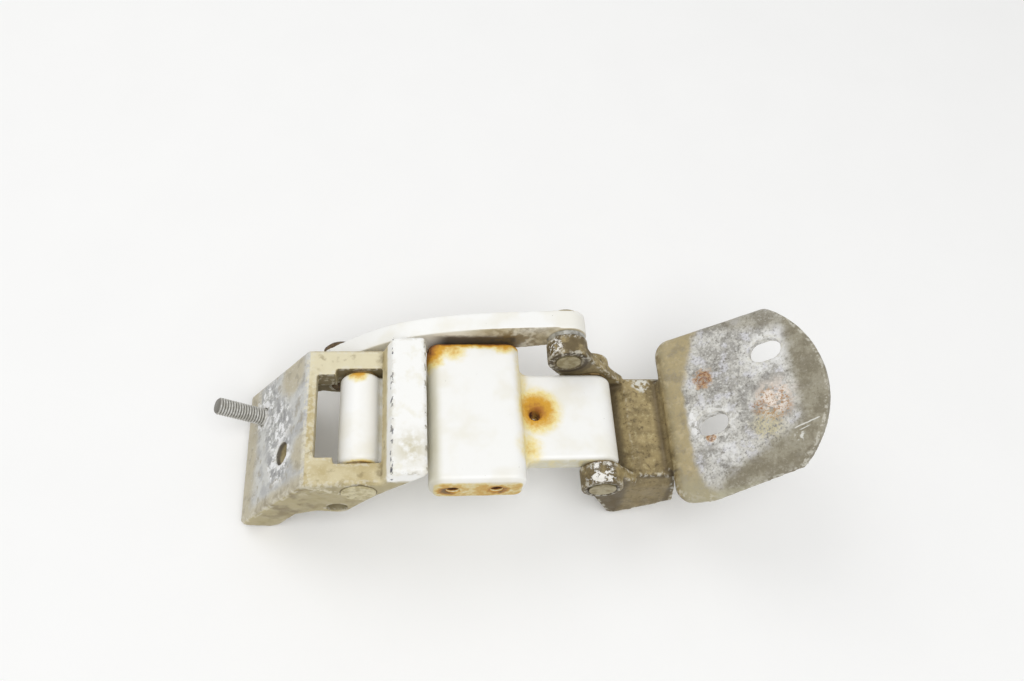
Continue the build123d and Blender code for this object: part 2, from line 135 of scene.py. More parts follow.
class Finish:
    """One procedural material, with short calls for the nodes that its masks and colours use."""

    def __init__(self, name):
        self.material = bpy.data.materials.new(name)
        self.material.use_nodes = True
        self.nodes = self.material.node_tree.nodes
        self.links = self.material.node_tree.links
        self.surface = self.nodes["Principled BSDF"]
        coordinates = self.nodes.new("ShaderNodeTexCoord")
        self.place = coordinates.outputs["Object"]
        self.normal = coordinates.outputs["Normal"]

    def put(self, socket, value):
        """Link a node's output to a socket, or write a plain value on it."""
        if isinstance(value, bpy.types.NodeSocket):
            self.links.new(value, socket)
        else:
            socket.default_value = value

    def noise(self, size, detail=3.0, roughness=0.55, stretch=(1, 1, 1)):
        """Noise from about 0 to 1 whose features are about size millimetres across."""
        mapping = self.nodes.new("ShaderNodeMapping")
        mapping.inputs["Scale"].default_value = stretch
        mapping.inputs["Location"].default_value = (size * 0.37, size * 0.11, size * 0.23)
        self.links.new(self.place, mapping.inputs["Vector"])
        texture = self.nodes.new("ShaderNodeTexNoise")
        self.links.new(mapping.outputs["Vector"], texture.inputs["Vector"])
        texture.inputs["Scale"].default_value = 1 / (size * MM)
        texture.inputs["Detail"].default_value = detail
        texture.inputs["Roughness"].default_value = roughness
        return texture.outputs["Fac"]

    def span(self, value, low, high, start=0.0, end=1.0):
        """Value carried from the range low to high onto start to end, smoothly and without overshoot."""
        node = self.nodes.new("ShaderNodeMapRange")
        node.interpolation_type = "SMOOTHSTEP"
        self.put(node.inputs["Value"], value)
        for name, number in (("From Min", low), ("From Max", high), ("To Min", start), ("To Max", end)):
            self.put(node.inputs[name], number)
        return node.outputs["Result"]

    def calc(self, operation, first, second=0.0):
        """Result of one maths node."""
        node = self.nodes.new("ShaderNodeMath")
        node.operation = operation
        self.put(node.inputs[0], first)
        self.put(node.inputs[1], second)
        return node.outputs[0]

    def chain(self, operation, values):
        """Values joined one after the other by the same operation."""
        total = values[0]
        for value in values[1:]:
            total = self.calc(operation, total, value)
        return total

    def times(self, *values):
        return self.chain("MULTIPLY", values)

    def plus(self, *values):
        return self.chain("ADD", values)

    def highest(self, *values):
        return self.chain("MAXIMUM", values)

    def most(self, *values):
        """Highest of several masks, kept between 0 and 1 and eased at both ends."""
        return self.span(self.highest(*values), 0.0, 1.0)

    def flip(self, mask):
        """Mask of all that another mask leaves out."""
        return self.calc("SUBTRACT", 1.0, mask)

    def coat(self, under, over, share):
        """Colour under another one that covers it by the given share."""
        node = self.nodes.new("ShaderNodeMix")
        node.data_type = "RGBA"
        self.put(node.inputs["Factor"], share)
        self.put(node.inputs[6], under)
        self.put(node.inputs[7], over)
        return node.outputs[2]

    def vector_calc(self, operation, first, second=(0, 0, 0)):
        """Node that works on a linked vector and a plain one."""
        node = self.nodes.new("ShaderNodeVectorMath")
        node.operation = operation
        self.links.new(first, node.inputs[0])
        node.inputs[1].default_value = second
        return node

    def along(self, point, direction):
        """Distance in metres from a plane through point, positive on the side that direction names."""
        node = self.vector_calc("DOT_PRODUCT", self.place, direction)
        return self.calc("SUBTRACT", node.outputs["Value"], Vector(point).dot(Vector(direction)))

    def past(self, point, direction, blur, by=0.0, grain=3.0):
        """Mask of all that lies beyond a plane, with a soft and ragged border, in millimetres."""
        distance = self.ragged(self.along(point, direction), by, grain)
        return self.span(distance, -blur * MM, blur * MM)

    def reach(self, point, squeeze=(1, 1, 1)):
        """Distance in metres from a point, with each axis weighed by squeeze."""
        shift = self.vector_calc("SUBTRACT", self.place, point)
        scale = self.vector_calc("MULTIPLY", shift.outputs["Vector"], squeeze)
        return self.vector_calc("LENGTH", scale.outputs["Vector"]).outputs["Value"]

    def rim(self, pivot, radius):
        """Distance in metres from the round edge that lies radius metres from an axis along Y through pivot."""
        return self.calc("ABSOLUTE", self.calc("SUBTRACT", self.reach(pivot, ABOUT_Y), radius))

    def near(self, point, radius, blur, by=0.0, grain=3.0, squeeze=(1, 1, 1)):
        """Mask of all that lies within radius of a point, with a soft and ragged border, in millimetres."""
        distance = self.ragged(self.reach(point, squeeze), by, grain)
        return self.span(distance, (radius + blur) * MM, (radius - blur) * MM)

    def ragged(self, distance, by, grain):
        """Distance that wanders to both sides by some millimetres."""
        if not by:
            return distance
        wander = self.calc("SUBTRACT", self.noise(grain, 4.0), 0.5)
        return self.plus(distance, self.times(wander, 2 * by * MM))

    def glow(self, point, radius, by=0.0, grain=3.0, squeeze=(1, 1, 1)):
        """Value that falls evenly from 1 at a point to 0 at radius millimetres from it."""
        distance = self.ragged(self.reach(point, squeeze), by, grain)
        return self.span(distance, radius * MM, 0.0)

    def stripe(self, point, direction, half_width, blur, by=0.0, grain=3.0):
        """Mask of a band on both sides of a plane through point, in millimetres."""
        distance = self.calc("ABSOLUTE", self.ragged(self.along(point, direction), by, grain))
        return self.span(distance, (half_width + blur) * MM, max(half_width - blur, 0.0) * MM)

    def scratch(self, start, end, half_width):
        """Mask of a thin line from start to end."""
        run = end - start
        across = run.cross(FAR.cross(run)).normalized()
        line = self.stripe(start, across, half_width, half_width * 0.6, half_width, 2.0)
        middle = (start + end) / 2
        return self.times(line, self.near(middle, run.length / 2 / MM, 0.8))

    def facing(self, direction, low, high):
        """Mask of faces whose normal points in about the given direction."""
        node = self.vector_calc("DOT_PRODUCT", self.normal, direction)
        return self.span(node.outputs["Value"], low, high)

    def painted(self, name):
        """Value that the mesh stores under a name, such as how sharp an edge is."""
        node = self.nodes.new("ShaderNodeAttribute")
        node.attribute_name = name
        return node.outputs["Fac"]

    def finish(self, colour, roughness, relief=None, depth=0.1, metallic=None):
        """Wire up the surface; relief is a height from 0 to 1 and depth its size in millimetres."""
        self.put(self.surface.inputs["Base Color"], colour)
        self.put(self.surface.inputs["Roughness"], roughness)
        if metallic is not None:
            self.put(self.surface.inputs["Metallic"], metallic)
        if relief is not None:
            bump = self.nodes.new("ShaderNodeBump")
            bump.inputs["Distance"].default_value = depth * MM
            bump.inputs["Strength"].default_value = 1.0
            self.put(bump.inputs["Height"], relief)
            self.links.new(bump.outputs["Normal"], self.surface.inputs["Normal"])
        return self.material


def smoothed(values, edges, count, rounds):
    """Vertex values averaged with their neighbours' again and again."""
    links = np.bincount(edges.ravel(), minlength=count)
    for _ in range(rounds):
        total = np.bincount(edges[:, 0], values[edges[:, 1]], count)
        total += np.bincount(edges[:, 1], values[edges[:, 0]], count)
        values = 0.5 * values + 0.5 * total / np.maximum(links, 1)
    return values


def mark_wear(mesh):
    """Store on each vertex how sharply the surface stands out there, and how deep in a corner it lies."""
    count = len(mesh.vertices)
    places = np.empty(count * 3)
    mesh.vertices.foreach_get("co", places)
    normals = np.empty(count * 3)
    mesh.vertices.foreach_get("normal", normals)
    edges = np.empty(len(mesh.edges) * 2, int)
    mesh.edges.foreach_get("vertices", edges)
    places = places.reshape(-1, 3)
    normals = normals.reshape(-1, 3)
    edges = edges.reshape(-1, 2)
    step = places[edges[:, 1]] - places[edges[:, 0]]
    length = np.linalg.norm(step, axis=1)
    bend = ((normals[edges[:, 1]] - normals[edges[:, 0]]) * step).sum(1) / length**2
    links = np.maximum(np.bincount(edges.ravel(), minlength=count), 1)
    curve = (np.bincount(edges[:, 0], bend, count) + np.bincount(edges[:, 1], bend, count)) / links
    curve *= MM
    for name, values, rounds in (("edge", curve, 12), ("corner", -curve, 40)):
        values = smoothed(np.clip(values, 0, 1), edges, count, rounds)
        layer = mesh.attributes.new(name, "FLOAT", "POINT")
        layer.data.foreach_set("value", values.astype(np.float32))


def worn_copy(node, name, voxel, rounding, roughen):
    """Close-meshed copy of a CAD node with softened edges and a cast or corroded surface, in its place."""
    source = frame["nodes"][node]
    piece = source.copy()
    piece.data = source.data.copy()
    piece.name = name
    piece.parent = None
    piece.matrix_world = Matrix.Identity(4)
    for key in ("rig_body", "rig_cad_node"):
        del piece[key]
    bpy.context.scene.collection.objects.link(piece)
    remesh = piece.modifiers.new("remesh", "REMESH")
    remesh.mode = "VOXEL"
    remesh.voxel_size = voxel * MM
    smooth = piece.modifiers.new("smooth", "SMOOTH")
    smooth.factor = 0.5
    smooth.iterations = rounding
    bpy.context.view_layer.update()
    evaluated = piece.evaluated_get(bpy.context.evaluated_depsgraph_get())
    mesh = bpy.data.meshes.new_from_object(evaluated)
    piece.modifiers.clear()
    piece.data = mesh
    mesh.name = name
    for vertex, normal in zip(mesh.vertices, [v.normal.copy() for v in mesh.vertices]):
        vertex.co += normal * roughen(vertex.co, normal) * MM
    mesh.update()
    mesh.shade_smooth()
    mark_wear(mesh)
    stands_for(piece, node)
    return piece


def stands_for(piece, node):
    """Put a piece in the place of a CAD node: it moves with that node's body, and the node is hidden."""
    bodies = frame["record"]["behaviour"]["bodies"]
    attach(piece, next(body for body, nodes in bodies.items() if node in nodes))
    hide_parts(node)


def threaded_stud(node, name):
    """Stud as in the CAD, with a rolled thread along its free length in place of the plain core.

    Sizes are in millimetres, and heights run along the stud's axis from the mounting face.
    """
    pitch = 1.25
    crest, root = 3.98, 3.32
    core, head = 4.0, 5.0
    head_end, plate_back, tip = -10.55, -8.0, 22.4
    chamfer = 0.9
    dents = 0.12
    around, rows_per_turn = 48, 8
    shank = [(head_end, 0.0), (head_end, head), (plate_back, head), (plate_back, core), (0.0, core)]
    rows = int(tip / (pitch / rows_per_turn))
    heights = [height for height, _ in shank] + [tip * step / rows for step in range(1, rows + 1)]
    up = STUD_AXIS.cross(FAR)
    places = []
    for row, height in enumerate(heights):
        for step in range(around):
            angle = tau * step / around
            if row < len(shank):
                radius = shank[row][1]
            else:
                turn = (height / pitch - step / around) % 1.0
                radius = root + (crest - root) * min(1.0, 1.25 * (1 - abs(2 * turn - 1)))
                radius -= dents * abs(lumps(mm(radius * cos(angle), radius * sin(angle), height), 1.6))
                radius = min(radius, crest - chamfer + (tip - height))
            place = FAR * radius * cos(angle) + up * radius * sin(angle) + STUD_AXIS * height
            places.append(STUD_BASE + place * MM)
    faces = []
    for row in range(len(heights) - 1):
        for step in range(around):
            after = (step + 1) % around
            low, high = row * around, (row + 1) * around
            faces.append((low + step, low + after, high + after, high + step))
    places.append(STUD_BASE + STUD_AXIS * tip * MM)
    last = (len(heights) - 1) * around
    faces += [(last + step, last + (step + 1) % around, len(places) - 1) for step in range(around)]
    mesh = bpy.data.meshes.new(name)
    mesh.from_pydata(places, [], faces)
    mesh.shade_smooth()
    mesh.set_sharp_from_angle(angle=0.9)
    piece = bpy.data.objects.new(name, mesh)
    bpy.context.scene.collection.objects.link(piece)
    stands_for(piece, node)
    return piece


def lumps(place, size, seed=0.0):
    """Noise from -1 to 1 at a place, with features about size millimetres across."""
    return noise.noise(place / (size * MM) + Vector((seed, seed * 2, seed * 3)))


def cast_surface(place, normal):
    """Height in millimetres of an even cast skin."""
    return 0.08 * lumps(place, 5.0) + 0.04 * lumps(place, 1.8, 4.0) - 0.07


def crusted_bracket(place, normal):
    """Cast skin, with pits and crusts on the mounting face where the paint has come off."""
    height = cast_surface(place, normal)
    if normal.dot(FACE_NORMAL) > 0.85 and place.dot(FACE_NORMAL) > -0.6 * MM:
        height += 0.16 * lumps(place, 3.2, 7.0) + 0.12 * lumps(place, 1.5, 9.0) - 0.16
    return height


def crusted_leaf(place, normal):
    """Forged skin, with blistered zinc on the leaf."""
    height = cast_surface(place, normal)
    if normal.dot(LEAF_NORMAL) > 0.8 and (place - LEAF_CENTRE).dot(LEAF_NORMAL) > -0.6 * MM:
        height += 0.07 * lumps(place, 2.4, 3.0) + 0.06 * lumps(place, 1.4, 5.0) - 0.08
    return height


def forged_arm(place, normal):
    """Height in millimetres of a smoother forged skin."""
    return 0.06 * lumps(place, 9.0) - 0.05


def dress(obj, material):
    """Give an object one material in place of its own."""
    obj.data.materials.clear()
    obj.data.materials.append(material)


def rust_on(f, colour, level):
    """Rust over a colour: a yellow stain where level is low, then orange, brown and dark brown towards 1."""
    flake = f.calc("SUBTRACT", f.noise(1.8, 6.0, 0.62), 0.5)
    level = f.plus(level, f.times(flake, f.span(level, 0.02, 0.3, 0.0, 0.42)))
    colour = f.coat(colour, tone(241, 221, 138), f.times(f.span(level, 0.03, 0.34), 0.85))
    colour = f.coat(colour, tone(216, 162, 52), f.span(level, 0.26, 0.56))
    colour = f.coat(colour, tone(172, 112, 46), f.span(level, 0.54, 0.80))
    return f.coat(colour, tone(92, 58, 32), f.span(level, 0.80, 0.98))


def white_paint(f):
    """Old white paint: nearly clean, yellowish in the corners, with a few dark specks."""
    colour = f.coat(tone(249, 249, 246), tone(243, 241, 232), f.span(f.noise(18.0, 3.0), 0.42, 0.68))
    grime = f.times(f.span(f.painted("corner"), 0.01, 0.14), f.span(f.noise(6.0, 4.0), 0.2, 0.7))
    colour = f.coat(colour, tone(214, 202, 156), f.times(grime, 0.7))
    specks = f.span(f.noise(1.5, 2.0), 0.745, 0.77)
    return f.coat(colour, tone(128, 116, 92), f.times(specks, 0.55))


def bracket_finish():
    """Dull cream paint with a white bar, and a mounting face of bare zinc with pale crusts."""
    f = Finish("bracket_paint")
    bar_start, bar_left, bar_right = 51.8, 53.9, 68.6
    bar_near, bar_foot, bar_top = -31.8, 27, 34.8
    cheek = -33.0
    fine = f.noise(0.8, 3.0, 0.65)
    cream = f.coat(tone(212, 200, 162), tone(192, 176, 130), f.span(f.noise(12.0, 5.0), 0.36, 0.62))
    # Painted highlight: the upward faces of the frame's far part are lighter.
    painted_top_light = f.times(f.past(mm(24, 16, 0), (0.4, 0.9, 0), 7.0, 4.0, 6.0), f.facing(UP, 0.6, 0.9))
    cream = f.coat(cream, tone(232, 225, 196), f.times(painted_top_light, 0.7))
    cream = f.coat(cream, tone(228, 218, 184), f.times(f.span(fine, 0.54, 0.70), 0.4))
    cream = f.coat(cream, tone(140, 124, 84), f.times(f.span(f.noise(5.0, 6.0), 0.54, 0.70), 0.6))
    # Painted shade: faces turned to the near side are darker, with darker brown mottling on them.
    side = f.facing(NEAR, 0.6, 0.9)
    cream = f.coat(cream, tone(172, 161, 124), f.times(side, 0.75))
    cream = f.coat(cream, tone(150, 136, 98), f.times(side, f.span(f.noise(7.0, 5.0), 0.5, 0.66), 0.7))
    # Painted shade on the inner wall seen through the window.
    hollow_shade = f.times(side, f.past(mm(0, 10, 0), FAR, 1.0), f.past(mm(0, 0, 25), DOWN, 1.0))
    cream = f.coat(cream, tone(106, 94, 68), f.times(hollow_shade, 0.85))
    # Painted shade on downward faces.
    underside_shade = f.facing(DOWN, -0.2, 0.5)
    cream = f.coat(cream, tone(150, 138, 106), underside_shade)

    bar = f.times(f.past(mm(bar_start, 0, 0), RIGHT, 0.5, 0.5), f.past(mm(0, 0, bar_foot), UP, 1.8, 1.6))
    white = f.coat(tone(250, 250, 247), tone(243, 241, 230), f.span(f.noise(8.0, 4.0), 0.50, 0.68))
    patch = f.times(f.glow(mm(62, -21, 36.6), 13.0, 3.0, 4.0), f.span(f.noise(4.0, 5.0), 0.3, 0.6))
    white = f.coat(white, tone(196, 186, 146), f.times(patch, 0.75))
    rim_dirt = f.most(
        f.stripe(mm(bar_right, 0, 0), RIGHT, 0.9, 0.5, 0.8, 3.0),
        f.times(f.stripe(mm(0, bar_near, 0), FAR, 0.7, 0.5, 0.6, 3.0), 0.7),
    )
    rim_dirt = f.times(rim_dirt, f.span(f.noise(4.6, 5.0), 0.50, 0.60), f.past(mm(0, 0, bar_top), UP, 0.8))
    white = f.coat(white, tone(134, 124, 92), f.times(rim_dirt, 0.8))
    chips = f.stripe(mm(bar_left, 0, 0), RIGHT, 0.55, 0.3, 0.7, 2.0)
    chips = f.times(chips, f.span(f.noise(2.8, 3.0, 0.6, (1, 0.8, 1)), 0.53, 0.56))
    white = f.coat(white, tone(78, 80, 92), chips)
    colour = f.coat(cream, white, bar)

    face = f.past(FACE_NORMAL * -1.1 * MM, FACE_NORMAL, 0.3)
    zinc = f.coat(tone(206, 206, 201), tone(182, 182, 180), f.span(f.noise(7.0, 5.0), 0.42, 0.60))
    beige = f.most(
        f.past(on_face(-15, 0), -FACE_UP_SLOPE, 6.0, 4.0, 9.0),
        f.past(on_face(0, -27), NEAR, 4.0, 3.0, 9.0),
        f.near(on_face(17, 25), 10.0, 4.0, 3.0, 6.0),
        f.near(on_face(28, -16), 8.0, 4.0, 3.0, 6.0),
    )
    zinc = f.coat(zinc, tone(192, 182, 154), f.times(beige, 0.85))
    zinc = f.coat(zinc, tone(160, 151, 130), f.times(f.span(f.noise(4.0, 6.0), 0.53, 0.66), 0.65))
    crust = f.most(
        f.near(on_face(-8, 20), 10.0, 6.0, 5.0, 5.0),
        f.near(on_face(5, 4), 12.0, 6.0, 5.0, 5.0),
        f.near(on_face(8, -13), 10.0, 4.0, 4.0, 5.0),
    )
    speckle = f.noise(1.3, 7.0, 0.75)
    bloom = f.noise(4.2, 7.0, 0.66)
    zinc = f.coat(zinc, tone(150, 149, 150), f.times(crust, f.span(bloom, 0.49, 0.42), 0.75))
    zinc = f.coat(zinc, tone(118, 117, 114), f.times(crust, f.span(speckle, 0.45, 0.38), 0.7))
    zinc = f.coat(zinc, tone(250, 250, 250), f.times(crust, f.span(bloom, 0.51, 0.56), 0.95))
    zinc = f.coat(zinc, tone(226, 226, 226), f.times(f.span(speckle, 0.55, 0.65), 0.5))
    rings = f.most(
        f.near(on_face(STUD_UP, STUD_SIDE), 6.6, 1.4, 2.0, 3.0),
        f.near(on_face(HOLE_UP, HOLE_SIDE), 7.6, 1.6, 2.0, 3.0),
    )
    zinc = f.coat(zinc, tone(244, 244, 244), f.times(rings, f.span(f.noise(2.6, 5.0), 0.46, 0.56), 0.9))
    colour = f.coat(colour, zinc, face)
    # Painted shade on the bolt hole's wall.
    bolt_hole_shade = f.near(on_face(HOLE_UP, HOLE_SIDE), 6.0, 0.3)
    bolt_hole_shade = f.times(bolt_hole_shade, f.past(FACE_NORMAL * -0.9 * MM, -FACE_NORMAL, 0.4))
    colour = f.coat(colour, tone(112, 106, 96), bolt_hole_shade)
    border = f.stripe(on_face(30.0, 0), FACE_UP_SLOPE, 1.7, 0.8, 1.4, 3.0)
    border = f.times(border, f.past(mm(8, 0, 0), RIGHT, 2.0))
    colour = f.coat(colour, tone(226, 220, 196), f.times(border, f.span(f.noise(1.8, 5.0), 0.48, 0.58), 0.6))
    lower_edge = f.stripe(mm(0, cheek, 0), FAR, 1.0, 0.8, 1.0, 3.0)
    lower_edge = f.times(lower_edge, f.past(mm(26, 0, 0), LEFT, 6.0), f.past(mm(0, 0, 14), UP, 5.0))
    streak = f.times(lower_edge, f.span(f.noise(2.6, 5.0), 0.48, 0.60))
    colour = f.coat(colour, tone(230, 226, 206), f.times(streak, 0.6))
    # Painted shade inside the open link bore of the near wall.
    bore = f.times(f.near(LINK_PIVOT, 4.6, 0.4, squeeze=ABOUT_Y), f.past(mm(0, -33.2, 0), FAR, 0.3))
    colour = f.coat(colour, tone(92, 84, 64), f.times(bore, f.past(mm(0, -20, 0), NEAR, 1.0)))
    streaks = f.times(
        f.stripe(mm(0, cheek, 0), FAR, 4.0, 2.5, 2.0, 5.0),
        f.past(mm(20, 0, 0), LEFT, 5.0, 3.0, 5.0),
        f.past(mm(0, 0, -12), UP, 6.0),
        f.span(f.noise(7.0, 5.0), 0.42, 0.66),
    )
    colour = f.coat(colour, tone(122, 108, 80), f.times(streaks, 0.6))
    # Painted shadow ring round the arm pin's head.
    ring = f.stripe(mm(0, -34, 0), FAR, 3.0, 0.5)
    ring = f.times(ring, f.span(f.rim(ARM_PIVOT, PIN_HEAD_RADIUS), 0.7 * MM, 0.25 * MM))
    colour = f.coat(colour, tone(96, 84, 58), f.times(ring, 0.75))
    dirt = f.times(f.span(f.painted("corner"), 0.02, 0.16), f.span(f.noise(4.0, 4.0), 0.3, 0.6))
    colour = f.coat(colour, tone(118, 102, 68), f.times(dirt, 0.7))
    worn = f.times(f.span(f.painted("edge"), 0.06, 0.20), f.span(f.noise(2.2, 5.0), 0.48, 0.58))
    colour = f.coat(colour, tone(226, 222, 208), f.times(worn, 0.4))
    roughness = f.span(f.noise(6.0), 0.3, 0.7, 0.46, 0.70)
    relief = f.plus(f.times(fine, 0.5), f.times(f.noise(3.0, 5.0), 0.5), f.times(speckle, crust, face, 2.0))
    return f.finish(colour, roughness, relief, 0.18)


def arm_finish():
    """White paint with orange rust along the block's edges, in its bores and round the tapped hole."""
    f = Finish("arm_paint")
    colour = white_paint(f)
    end = 33.4
    top = 21.1
    half_width = 21.4
    block_left, block_right = 69.1, 110.9
    bore_left, bore_right, bore_height = 79.3, 98.0, 18.9
    across = f.calc("ABSOLUTE", f.along(mm(0, 0, 0), FAR))
    from_end = f.along(mm(0, -end, 0), NEAR)
    on_block = f.times(
        f.past(mm(block_left - 3, 0, 0), RIGHT, 1.0),
        f.past(mm(block_right + 2, 0, 0), LEFT, 1.0),
    )
    streak = f.noise(8.0, 5.0)
    shade = f.span(f.along(mm(block_left, 0, 0), RIGHT), 7.0 * MM, 2.6 * MM)
    shade = f.times(shade, f.past(mm(50, 0, 0), RIGHT, 1.0), f.span(f.noise(12.0), 0.3, 0.7, 0.75, 1.0))
    colour = f.coat(colour, tone(212, 208, 188), shade)
    far = f.span(f.along(mm(0, end, 0), FAR), -4.8 * MM, 0.0)
    far = f.times(far, on_block, f.span(streak, 0.34, 0.62, 0.55, 1.0))
    far_left = f.glow(mm(block_left + 1, end, 25), 13.5, 2.5, 4.0, (1, 0.75, 0.6))
    far_stain = f.times(f.glow(mm(block_left + 12, end - 3, 28), 11.0, 3.0, 5.0), 0.45)
    far_right = f.times(f.glow(mm(block_right - 7, end, 27), 9.0, 2.0, 4.0), 0.75)
    left_side = f.stripe(mm(block_left, 0, 0), RIGHT, 3.0, 2.0)
    left_side = f.times(left_side, f.past(mm(0, 20, 0), FAR, 9.0, 3.0), 0.32)
    # Yellow stain along the block's right shoulder, partly dirt and partly painted shade.
    right_side = f.stripe(mm(block_right + 0.5, 0, 0), RIGHT, 3.0, 2.5, 1.0, 6.0)
    right_side = f.times(right_side, f.stripe(mm(0, 11, 0), FAR, 22.0, 9.0, 3.0, 8.0), 0.22)
    near = f.span(from_end, -1.0 * MM, 0.1 * MM)
    near = f.times(near, on_block, f.span(streak, 0.34, 0.62, 0.16, 0.50))
    sockets = f.most(
        f.glow(mm(bore_left - 1.8, -end, bore_height), 9.0, 2.5, 3.0),
        f.glow(mm(bore_right + 0.5, -end, bore_height), 9.0, 2.5, 3.0),
    )
    sockets = f.times(sockets, f.span(from_end, -1.1 * MM, -0.2 * MM), 1.1)
    foot = f.times(near, f.past(mm(0, 0, 13), DOWN, 3.0), 1.5)
    halo = f.times(f.glow(mm(TAPPED_HOLE.x / MM + 0.6, 2.4, top), 16.0, 1.3, 7.0), 0.78)
    heart = f.near(mm(TAPPED_HOLE.x / MM - 0.4, 0.4, top), 3.0, 0.9, 0.8, 2.0, (1, 1, 0))
    stain = f.times(f.glow(mm(112, -16, top), 13.0, 3.0, 6.0), 0.35)
    # Painted shade on the near faces of the plate and barrel.
    plate_near_shade = f.times(f.facing(NEAR, 0.6, 0.9), f.past(mm(block_right + 1, 0, 0), RIGHT, 1.0))
    colour = f.coat(colour, tone(204, 199, 174), f.times(plate_near_shade, f.span(f.noise(6.0, 4.0), 0.2, 0.6, 0.4, 0.95)))
    on_knuckle = f.past(mm(50, 0, 0), LEFT, 2.0)
    knuckle = f.span(across, (half_width - 1.8) * MM, half_width * MM)
    knuckle = f.times(knuckle, on_knuckle, f.span(f.noise(6.0), 0.3, 0.6, 0.20, 0.5))
    knuckle_far = f.times(f.glow(ARM_PIVOT + mm(-1, 21.5, 9), 8.0, 1.5, 3.0), on_knuckle, 0.75)
    barrel = f.span(across, (half_width - 1.6) * MM, half_width * MM)
    barrel = f.times(barrel, f.past(mm(118, 0, 0), RIGHT, 2.0), f.span(f.noise(6.0), 0.4, 0.7, 0.02, 0.2))
    bores = f.times(
        f.past(mm(0, -end + 1.2, 0), FAR, 0.5),
        f.past(mm(0, end - 1.2, 0), NEAR, 0.5),
        f.most(
            f.near(mm(bore_left, 0, bore_height), 2.9, 0.15, squeeze=ABOUT_Y),
            f.near(mm(bore_right, 0, bore_height), 2.9, 0.15, squeeze=ABOUT_Y),
        ),
    )
    level = f.highest(
        far, far_left, far_stain, far_right, left_side, right_side, near, sockets, foot,
        halo, heart, stain, barrel, knuckle, knuckle_far, bores,
    )
    colour = rust_on(f, colour, level)
    # Painted shade on the block's near face.
    block_near_shade = f.times(f.facing(NEAR, 0.6, 0.9), on_block)
    colour = f.coat(colour, tone(166, 146, 102), f.times(block_near_shade, 0.36))
    roughness = f.span(level, 0.1, 0.6, 0.34, 0.8)
    pitted = f.times(f.noise(1.3, 4.0), f.span(level, 0.3, 0.9, 0.04, 1.0))
    return f.finish(colour, roughness, f.plus(f.noise(9.0, 2.0), pitted), 0.12)


def link_finish():
    """White paint, with painted shade and dirt on the inner side, and rusty round both eyes."""
    f = Finish("link_paint")
    colour = white_paint(f)
    # Painted shade: the inner side is a little darker.
    inner = f.facing(NEAR, 0.4, 0.9)
    colour = f.coat(colour, tone(244, 240, 226), f.times(inner, 0.6))
    grime = f.times(f.span(f.noise(11.0, 5.0), 0.3, 0.60, 0.35, 1.0), f.past(mm(88, 0, 0), RIGHT, 9.0, 4.0))
    colour = f.coat(colour, tone(186, 172, 136), f.times(grime, inner, 0.9))
    # Painted shadow: a dark band low on the inner side, where the link passes close behind the arm's block.
    low = f.times(f.past(mm(0, 0, 31), DOWN, 1.5, 1.2), f.past(mm(74, 0, 0), RIGHT, 5.0))
    colour = f.coat(colour, tone(74, 58, 36), f.times(low, inner, f.past(mm(112, 0, 0), LEFT, 4.0), 0.9))
    middle = f.times(inner, f.near(mm(110, 34, 26), 14.0, 9.0, 5.0, 5.0))
    colour = f.coat(colour, tone(128, 108, 70), f.times(middle, f.span(f.noise(3.0, 5.0), 0.38, 0.6), 0.85))
    ring = f.near(LINK_PIVOT + mm(0, 34, 0), 8.5, 1.6, 1.6, 2.5, ABOUT_Y)
    colour = f.coat(colour, tone(120, 104, 74), f.times(ring, f.span(f.noise(2.6, 5.0), 0.42, 0.56), 0.85))
    outer = f.facing(FAR, 0.4, 0.9)
    colour = f.coat(colour, tone(224, 218, 196), f.times(outer, f.span(f.noise(9.0, 5.0), 0.46, 0.66), 0.8))
    scuffs = f.span(f.noise(3.0, 5.0, 0.6, (0.5, 1, 1.2)), 0.62, 0.66)
    colour = f.coat(colour, tone(176, 164, 130), f.times(outer, scuffs, 0.8))
    rust = f.times(f.glow(LINK_PIVOT + mm(-3, 30, 7), 9.0, 2.5, 3.0), 1.2)
    for pivot in (LINK_PIVOT, LINK_DOOR_PIVOT):
        gap = f.ragged(f.calc("SUBTRACT", f.reach(pivot, ABOUT_Y), 8.2 * MM), 1.2, 3.0)
        weep = f.times(outer, f.span(gap, 3.4 * MM, 0.2 * MM), 0.85)
        run_off = f.times(outer, f.glow(pivot + mm(0, 41, -7), 9.0, 2.5, 3.0), 0.5)
        rust = f.highest(rust, weep, run_off)
    below = f.times(f.facing(DOWN, 0.3, 0.8), f.span(f.noise(9.0, 5.0), 0.40, 0.66), 0.5)
    colour = rust_on(f, colour, f.highest(rust, below))
    relief = f.plus(f.noise(7.0, 3.0), f.times(f.noise(1.4, 4.0), 0.3))
    return f.finish(colour, 0.38, relief, 0.1)


